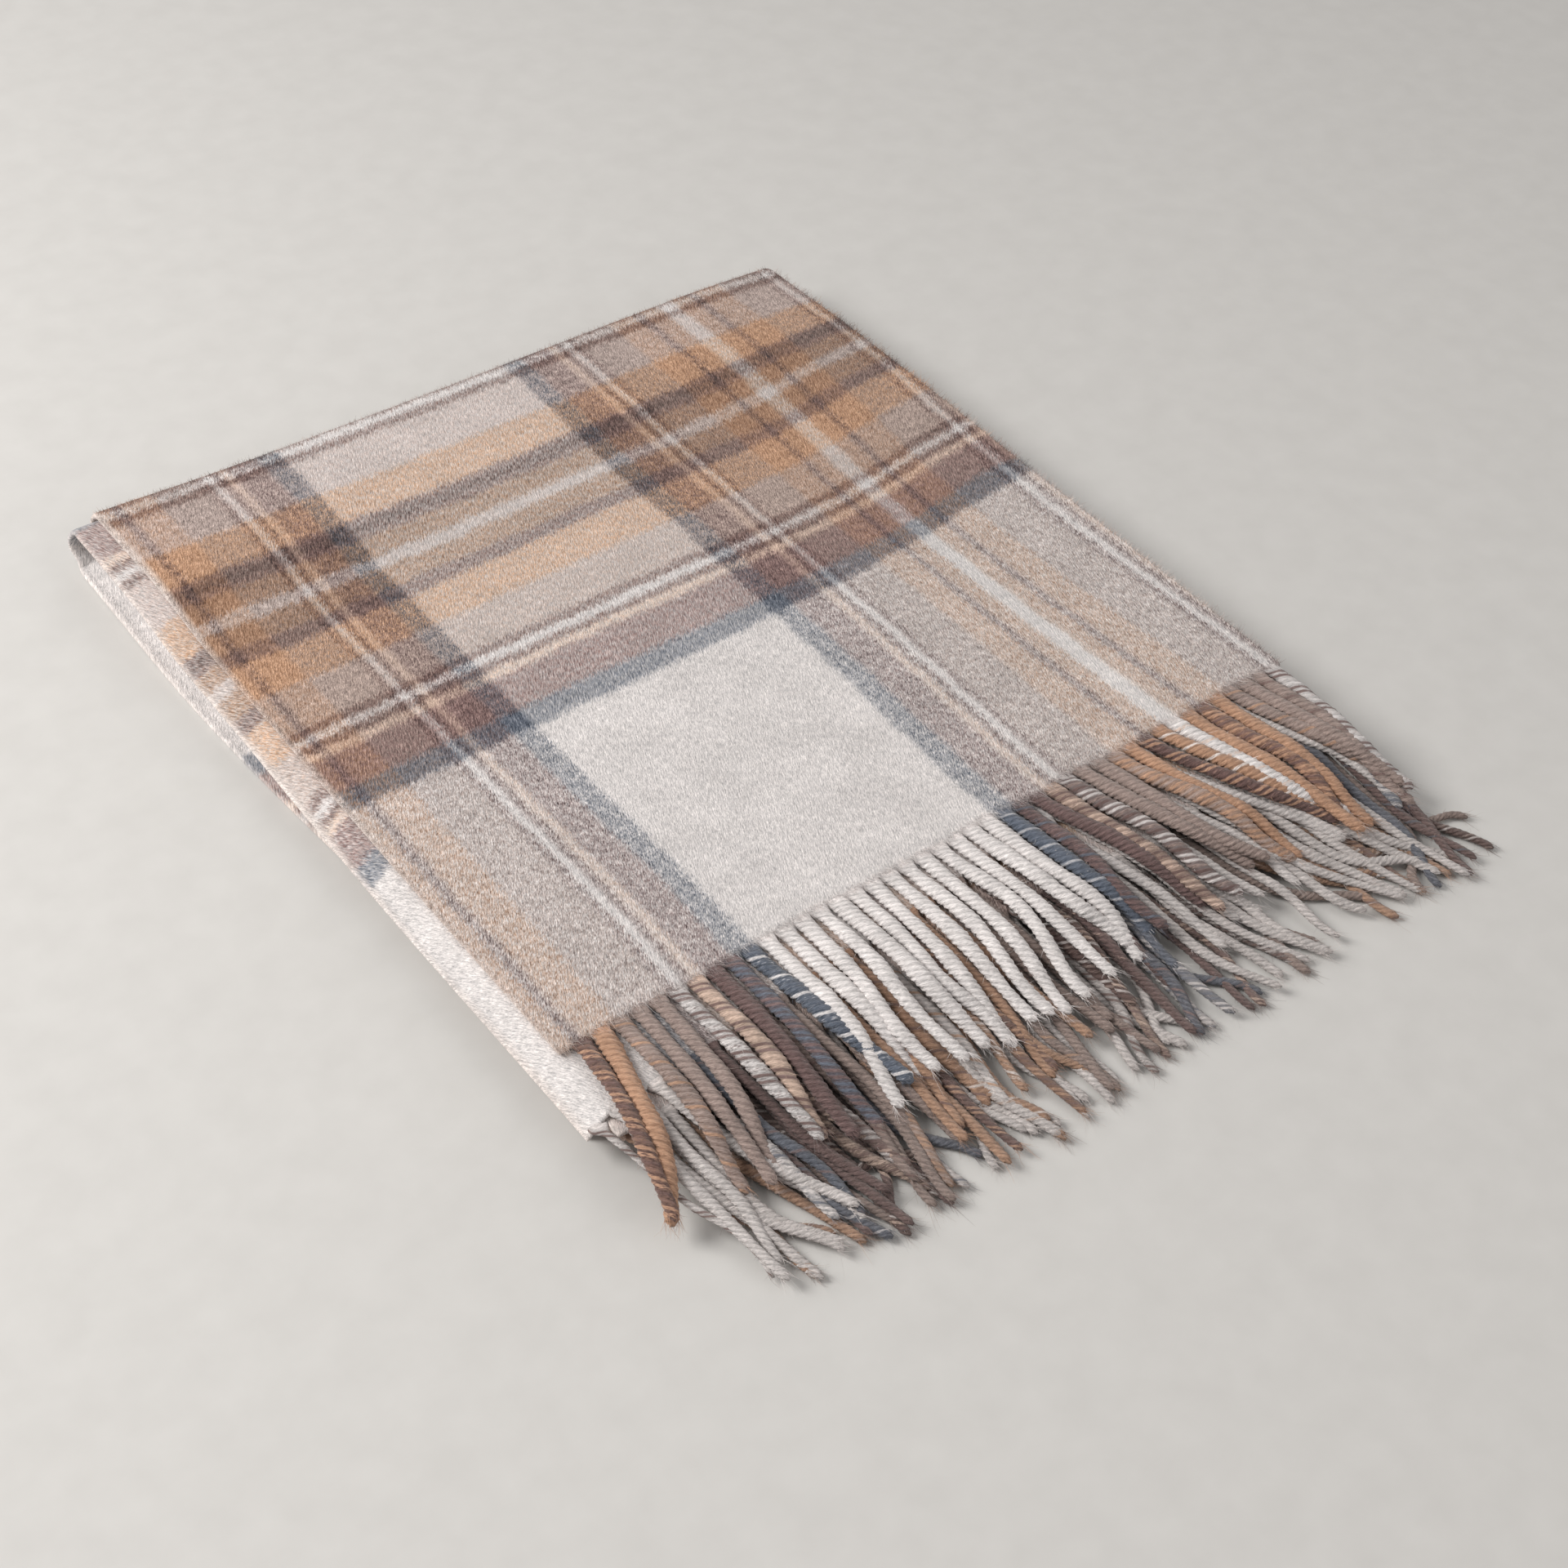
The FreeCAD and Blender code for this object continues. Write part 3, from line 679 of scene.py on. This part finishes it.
def yarn_at(across):
    """The yarn group of a tassel, by its distance from the upper breadth's selvedge."""
    repeat = 2 * WARP_SETT[-1][1] * MM
    phase = (across - WARP_MIRROR) % repeat
    from_mirror = min(phase, repeat - phase)
    for yarn, limit in YARN_LIMITS:
        if from_mirror < limit * MM:
            return yarn
    return WIDE_STRIPE_YARN


def lean_at(across, row):
    """How far a tassel's end lies to +X of its root, as it was dropped: the top ones fan out at -X and
    swing to +X along the rest, and the ones below them at -X are tucked in."""
    places = np.array([-8, 25, 80, 150, 225, 270, 315, 350, 365]) * MM
    leans = np.array([-15, -11, 3, 8, 16, 31, 28, 13, 7]) * MM
    tucked = np.array([15, 12, 6, 8, 16, 31, 26, 8, 1]) * MM
    return float(np.interp(across, places, leans if row == 3 else tucked))


def row_height(y, row):
    """Height of the cords of one row, lying on the rows below and drooping to the floor in front."""
    on_leaf_two = STRIP_Z[2] + HALF_PITCH + HALF_CLOTH
    near = (STRIP_Z[2] - HALF_PITCH, STRIP_Z[2] + HALF_PITCH,
            on_leaf_two + 1.5 * MM, on_leaf_two + 4.8 * MM)[row]
    far = (2.1, 4.6, 6.8, 11.0)[row] * MM
    return near + (far - near) * smooth((LEAF_TWO_EDGE + 4 * MM - y) / (64 * MM)) ** 0.85


def tassel_path(start, row, draw, lean, gather):
    """The middle line of one tassel, and its length. gather draws its end towards its neighbours'."""
    s = np.linspace(0, 1, RINGS)
    x, root_y, root_z = start
    length = TASSEL_LENGTH * draw.uniform(0.93, 1.03)
    lean += draw.normal(0, 2.2 * MM)
    wave = draw.normal(0, 1.3 * MM) * np.sin(2 * math.pi * (s * draw.uniform(0.8, 1.5) + draw.uniform()))
    curl = draw.normal(0, (9, 8, 4.5, 3.0)[row] * MM) * smooth((s - 0.5) / 0.5) ** 1.3
    px = x + lean * s ** 1.4 + gather * smooth(s * 1.15) + wave * s + curl
    lift = np.abs(draw.normal(0, 1.0 * MM)) * smooth(s / 0.4) * (row == 3)
    droop = draw.uniform(0.3, (1.5, 3.0, 5.0, 6.5)[row]) * MM * smooth((s - 0.62) / 0.38)
    step = length / (RINGS - 1)
    y = np.zeros(RINGS)
    z = np.zeros(RINGS)
    y[0], z[0] = root_y, root_z
    sink = root_z - row_height(root_y, row)
    for i in range(1, RINGS):
        z[i] = row_height(y[i - 1] - step, row) + lift[i] - droop[i] + sink * (1 - s[i]) ** 3
        run = step ** 2 - (px[i] - px[i - 1]) ** 2 - (z[i] - z[i - 1]) ** 2
        y[i] = y[i - 1] - math.sqrt(max(run, (0.25 * step) ** 2))
    return np.stack([px, y, np.maximum(z, 2.1 * MM)], -1), length


def rounded_box(value, web):
    """The sine or cosine of a section, squared up where the cord is still a flat web."""
    return np.sign(value) * np.abs(value) ** (1 - 0.55 * web)


def tassel_section(path, length, radius, draw):
    """Rings of a cord of twisted strands along a path, with a flat web at its root, and its axes."""
    tangent = np.gradient(path, axis=0)
    tangent /= np.linalg.norm(tangent, axis=1)[:, None]
    side = np.cross(tangent, np.array([0.0, 0.0, 1.0]))
    side /= np.linalg.norm(side, axis=1)[:, None]
    up = np.cross(side, tangent)
    s = np.linspace(0, length, RINGS)
    web = (1 - smooth((s - 1.2 * MM) / WEB_LENGTH))[:, None]
    phi = np.arange(AROUND) * 2 * math.pi / AROUND
    swell = 1 + 0.06 * np.sin(s / (8 * MM) + draw.uniform(0, 6))
    swell = swell + 0.04 * np.sin(s / (3.1 * MM) + draw.uniform(0, 6))
    taper = 1 - 0.20 * smooth((s / length - 0.5) / 0.5)
    taper = taper * (0.35 + 0.65 * smooth((length - s) / (2.6 * MM)))
    thick = (radius * swell * taper)[:, None]
    turn = 2 * math.pi * np.maximum(s - 0.5 * WEB_LENGTH, 0) / (TWIST_PITCH * draw.uniform(0.93, 1.08))
    angle = phi[None, :] + turn[:, None]
    ridge = 1 + RIDGE * (1 - web) * (1.5 * np.abs(np.cos(0.5 * STRANDS * phi))[None, :] - 1)
    half_width = thick * ridge * (1 - web) + 0.47 * TASSEL_PITCH * web
    half_height = thick * ridge * FLATNESS * (1 - web) + 0.94 * HALF_CLOTH * web
    wide = half_width * rounded_box(np.cos(angle), web)
    high = half_height * rounded_box(np.sin(angle), web)
    rough = 1 + draw.normal(0, 0.035, wide.shape) * (1 - web)
    ring = side[:, None, :] * (wide * rough)[:, :, None] + up[:, None, :] * (high * rough)[:, :, None]
    return path[:, None, :] + ring, s, tangent


def tassel_faces():
    """Faces of one tassel's tube and its two end caps, with each corner's ring and column."""
    column = np.arange(AROUND)
    columns = np.stack([column, column + 1, column + 1, column], -1)
    columns = np.tile(columns, (RINGS - 1, 1))
    first = np.repeat(np.arange(RINGS - 1), AROUND)
    rings = np.stack([first, first, first + 1, first + 1], -1)
    caps, cap_rings = [], []
    for ring, order in ((0, -1), (RINGS - 1, 1)):
        for i in range(1, AROUND // 2):
            caps.append([i - 1, i, AROUND - 1 - i, AROUND - i][::order])
            cap_rings.append([ring] * 4)
    columns = np.concatenate([columns, np.array(caps)])
    rings = np.concatenate([rings, np.array(cap_rings)])
    return rings * AROUND + columns % AROUND, rings, columns


def fibre_strips(start, way, bend, length, width):
    """Narrow ribbons for loose fibres: they start at points, head one way and bend another."""
    t = np.linspace(0, 1, FIBRE_ROWS)[None, :, None]
    middle = start[:, None] + length[:, None, None] * (way[:, None] * t + bend[:, None] * t ** 2)
    across = np.cross(way, bend)
    across /= np.linalg.norm(across, axis=1)[:, None] + 1e-9
    half = 0.5 * width * (1 - 0.75 * t) * across[:, None]
    return np.stack([middle - half, middle + half], 2)


def strip_faces(count):
    """Faces of a number of ribbons, each of FIBRE_ROWS pairs of vertices."""
    first = np.arange(count)[:, None] * 2 * FIBRE_ROWS + 2 * np.arange(FIBRE_ROWS - 1)[None, :]
    return np.stack([first, first + 1, first + 3, first + 2], -1).reshape(-1, 4)


def tassel_fibres(rings, tangent, draw):
    """The loose fibres that stand off a cord and that its cut end frays into."""
    fuzz, fray = 110, 26
    ring = np.concatenate([draw.randint(RINGS // 12, RINGS - 3, fuzz), np.full(fray, RINGS - 4)])
    column = draw.randint(0, AROUND, fuzz + fray)
    start = rings[ring, column]
    middle = rings[ring].mean(axis=1)
    outward = start - middle
    outward /= np.linalg.norm(outward, axis=1)[:, None]
    at_end = ring == RINGS - 4
    way = outward * np.where(at_end, 0.15, 0.55)[:, None]
    way = way + tangent[ring] * np.where(at_end, 1.0, 0.5)[:, None]
    way = way + draw.normal(0, 0.25, way.shape)
    frayed, fuzzy = draw.uniform(2.5, 6.0, len(ring)), draw.uniform(0.8, 2.4, len(ring))
    length = np.where(at_end, frayed, fuzzy) * MM
    strips = fibre_strips(start, way, draw.normal(0, 0.4, way.shape), length, FIBRE_WIDTH)
    strips[..., 2] = np.maximum(strips[..., 2], 0.1 * MM)
    return strips, ring


def tassel_roots(leaf, breadth):
    """Where the tassels of one row start: x, and how their ends lean and gather in small clumps.

    Both rows of a leaf lie in the same clumps, and those that start between the top row's settle under it.
    """
    clumps = np.random.RandomState(50 + leaf)
    left = {"upper": UPPER_LEFT, "lower": LOWER_LEFT}[breadth]
    stagger = ROW_STAGGER[leaf, breadth]
    count = int((RIGHT_END - left) / TASSEL_PITCH - stagger)
    xs = RIGHT_END - (np.arange(count) + 0.5 + stagger) * TASSEL_PITCH
    leans, gathers = np.zeros(count), np.zeros(count)
    start = 0
    while start < count:
        end = min(start + clumps.randint(2, 6), count)
        members = slice(start, end)
        leans[members] = clumps.normal(0, 4.5 * MM)
        gathers[members] = (xs[members].mean() - xs[members]) * clumps.uniform(-0.1, 0.6)
        start = end
    gathers += stagger * TASSEL_PITCH
    return zip(xs, leans, gathers)


def make_tassel_row(leaf, breadth, materials):
    """One row of tassels, as one piece for each yarn."""
    row = ROW_ORDER.index((leaf, breadth))
    draw = np.random.RandomState(100 + row)
    on_lower = float(breadth == "lower")
    top_ply = (leaf, breadth) in ((1, "upper"), (2, "lower"))
    ply_z = STRIP_Z[leaf] + (HALF_PITCH if top_ply else -HALF_PITCH)
    faces, face_rings, face_columns = tassel_faces()
    made = {yarn: {"points": [], "quads": [], "yarn": [], "strand": [], "count": 0} for yarn in YARNS}

    def add(group, points, quads, yarn_uv, strand_uv):
        group["quads"].append(quads + group["count"])
        group["points"].append(points)
        group["count"] += len(points)
        group["yarn"].append(yarn_uv)
        group["strand"].append(strand_uv)

    for x, clump_lean, gather in tassel_roots(leaf, breadth):
        from_left = x - UPPER_LEFT
        across = from_left if breadth == "upper" else 2 * UPPER_WIDTH + SIDE_TURN - from_left
        root_y = LEAF_ONE_EDGE if leaf == 1 else LEAF_TWO_EDGE
        root_y = root_y + float(fringe_wave(np.array(x), leaf)) + ROOT_OVERLAP
        if (leaf, breadth) == (1, "lower"):
            root_y -= STEP * (RIGHT_END - x) / LOWER_WIDTH
        start = lie(*(np.array([float(c)]) for c in (x, root_y, ply_z, leaf, on_lower)), leaf == 1)
        hanging = (leaf, breadth) == (1, "lower") and x - LOWER_LEFT < TASSEL_PITCH
        radius = CORD_RADIUS[row] * MM * draw.uniform(0.9, 1.1) * (0.5 if hanging else 1)
        lean = lean_at(from_left, row) + clump_lean
        path, length = tassel_path([c[0] for c in start], row, draw, lean, gather)
        rings, s, tangent = tassel_section(path, length, radius, draw)
        group = made[yarn_at(across)]
        # painted shade: the rows above this one go into the second yarn coordinate, and the tassel material
        # darkens the cord by them
        rows_above = len(ROW_ORDER) - 1 - row
        deep = PAINTED_SHADE_ROW_STEP * rows_above + 0.5 * MM       # a little past a whole number of shifts
        if hanging:
            across = WARP_MIRROR + THIN_LINE
        around = face_columns / AROUND * STRANDS * STRAND_WIDTH
        add(group, rings.reshape(-1, 3), faces, np.stack([across + 0 * around, deep + s[face_rings]], -1),
            np.stack([s[face_rings] + across, around], -1))
        strips, fibre_ring = tassel_fibres(rings, tangent, draw)
        quads = strip_faces(len(strips))
        fibre_s = np.repeat(s[fibre_ring], FIBRE_ROWS - 1)[:, None] + np.zeros(4)
        fibre_u = np.repeat(draw.uniform(-0.4, 0.4, len(strips)), FIBRE_ROWS - 1)[:, None]
        fibre_u = across + fibre_u * TASSEL_PITCH
        add(group, strips.reshape(-1, 3), quads, np.stack([fibre_u + 0 * fibre_s, deep + fibre_s], -1),
            np.stack([fibre_s, 0 * fibre_s], -1))

    pieces = []
    for yarn, group in made.items():
        name = f"leaf_{leaf}_{breadth}_{yarn}_tassels"
        points, quads, yarn_uv, strand_uv = (
            np.concatenate(group[key]) for key in ("points", "quads", "yarn", "strand"))
        uvs = {"yarn": yarn_uv.reshape(-1, 2), "strand": strand_uv.reshape(-1, 2)}
        piece = new_mesh(name + "_twisted", points, quads, uvs, materials[yarn])
        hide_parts(name)
        if leaf == 1:
            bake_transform(piece)
        else:
            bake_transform(piece)
        pieces.append(piece)
    return pieces


def make_tassels():
    materials = {yarn: tassel_material(yarn) for yarn in YARNS}
    rows = {}
    for leaf, breadth in ROW_ORDER:
        rows[leaf, breadth] = make_tassel_row(leaf, breadth, materials)
    return rows


# ---------------------------------------------------------------- loose fibres along the top leaf's edges
def nap_line(draw, count, x, y, z, u, v, way, reach):
    """Fibres at places on the top leaf; way is where they point and reach how long the longest is."""
    shape = np.zeros(count)
    start = np.stack(lie(x + shape, y + shape, z + shape, 1.0 + shape, shape, True), -1)
    way = np.stack([part + shape for part in way], -1) + draw.normal(0, 0.35, (count, 3))
    bend, length = draw.normal(0, 0.4, (count, 3)), draw.uniform(0.4, 1.0, count) * reach
    strips = fibre_strips(start, way, bend, length, FIBRE_WIDTH)
    yarn = np.stack(pattern_drift(u + shape, v + shape), -1)
    return strips, np.repeat(yarn, FIBRE_ROWS - 1, axis=0)


def make_nap(material):
    """The soft edge of brushed cloth: fibres that stand off the top leaf's edges and folds."""
    draw = np.random.RandomState(77)
    skin = HALF_PITCH + HALF_CLOTH
    top = STRIP_Z[1] + skin
    lines = []

    def at_random(count):
        return draw.uniform(0, UPPER_WIDTH, count), draw.uniform(0, LENGTH_ONE, count)

    count = 5200
    x, _ = at_random(count)
    y = draw.uniform(0.2, 3.0, count) * MM
    edge = LEAF_ONE_EDGE + fringe_wave(UPPER_LEFT + x, 1)
    lines.append(nap_line(draw, count, UPPER_LEFT + x, edge + y, top, x, y,
                          (0.0, -1.0, 0.10), 5.0 * MM))
    count = 2600
    _, y = at_random(count)
    x = draw.uniform(0, 1.6, count) * MM
    lines.append(nap_line(draw, count, UPPER_LEFT + x, LEAF_ONE_EDGE + y, top, x, y,
                          (-1.0, 0.0, 0.3), 2.6 * MM))
    _, y = at_random(count)
    turn = draw.uniform(0.3, 1.4, count)
    lines.append(nap_line(draw, count, RIGHT_END + skin * np.sin(turn), LEAF_ONE_EDGE + y,
                          STRIP_Z[1] + skin * np.cos(turn), UPPER_WIDTH + HALF_PITCH * turn, y,
                          (np.sin(turn), 0.0, np.cos(turn)), 2.4 * MM))
    x, _ = at_random(count)
    turn = draw.uniform(0.1, 0.9, count)
    ring = OUTER_RADIUS + skin
    lines.append(nap_line(draw, count, UPPER_LEFT + x, BACK_Y + ring * np.sin(turn),
                          BACK_Z + ring * np.cos(turn), x, LENGTH_ONE + OUTER_RADIUS * turn,
                          (0.0, np.sin(turn), np.cos(turn)), 1.3 * MM))
    points = np.concatenate([strips for strips, _ in lines])
    yarn = np.concatenate([yarn for _, yarn in lines])
    uvs = {"yarn": np.repeat(yarn, 4, axis=0)}
    nap = new_mesh("cloth_edge_nap", points.reshape(-1, 3), strip_faces(len(points)), uvs, material)
    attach(nap, "upper_half")
    return nap


# ---------------------------------------------------------------- stage, light and camera
def make_stage():
    g = Graph("pale_floor")
    grain = g.noise(g.node("TexCoord").outputs["Object"], 60.0, 3.0)["Fac"]
    pale = [(0.3, (0.60, 0.585, 0.565)), (0.7, (0.63, 0.615, 0.595))]
    g.give(g.shader.inputs["Base Color"], g.ramp(grain, pale))
    g.shader.inputs["Roughness"].default_value = 0.8
    bpy.ops.mesh.primitive_plane_add(size=8)
    floor = bpy.context.object
    floor.name = "studio_floor"
    floor.data.materials.append(g.material)


def make_lights():
    world = bpy.data.worlds.new("soft_studio")
    bpy.context.scene.world = world
    world.use_nodes = True
    sky = world.node_tree.nodes["Background"].inputs
    sky["Color"].default_value = (1.0, 0.99, 0.98, 1.0)
    sky["Strength"].default_value = 0.44
    lights = [
        ("key", (-1.25, 0.75, 1.25), 0.8, 31.5, (1.0, 0.985, 0.96)),
        ("fill", (0.9, -1.3, 1.2), 1.4, 6.0, (1.0, 0.97, 0.94)),
    ]
    for name, place, size, power, colour in lights:
        data = bpy.data.lights.new(name, "AREA")
        data.size = size
        data.energy = power
        data.color = colour
        lamp = bpy.data.objects.new(name, data)
        lamp.location = place
        lamp.rotation_euler = (-Vector(place)).to_track_quat("-Z", "Y").to_euler()
        bpy.context.scene.collection.objects.link(lamp)


def make_camera():
    """A tripod view from the front left, looking down at about 45 degrees."""
    place = Vector((-0.4801, -0.5942, 0.7147))
    azimuth, pitch, roll = (math.radians(a) for a in (39.89, 44.66, 3.55))
    right = Vector((math.cos(azimuth), -math.sin(azimuth), 0))
    level = math.cos(pitch)
    forward = Vector((math.sin(azimuth) * level, math.cos(azimuth) * level, -math.sin(pitch)))
    above = right.cross(forward)
    tilted_right = math.cos(roll) * right + math.sin(roll) * above
    tilted_up = math.cos(roll) * above - math.sin(roll) * right
    data = bpy.data.cameras.new("photo_view")
    data.sensor_width = 36.0
    data.lens = 57.34
    data.clip_start = 0.01
    camera = bpy.data.objects.new("photo_view", data)
    turn = Matrix((tilted_right, tilted_up, -forward)).transposed()
    camera.matrix_world = Matrix.Translation(place) @ turn.to_4x4()
    bpy.context.scene.collection.objects.link(camera)
    bpy.context.scene.camera = camera


# ---------------------------------------------------------------- the whole scene
bpy.context.scene.view_settings.view_transform = "Standard"
make_camera()
make_lights()
make_stage()
wool = cloth_material()
outer_loop, lower_inside, turn_inside, upper_inside, flats = make_cloth(wool)
rows = make_tassels()
nap = make_nap(wool)
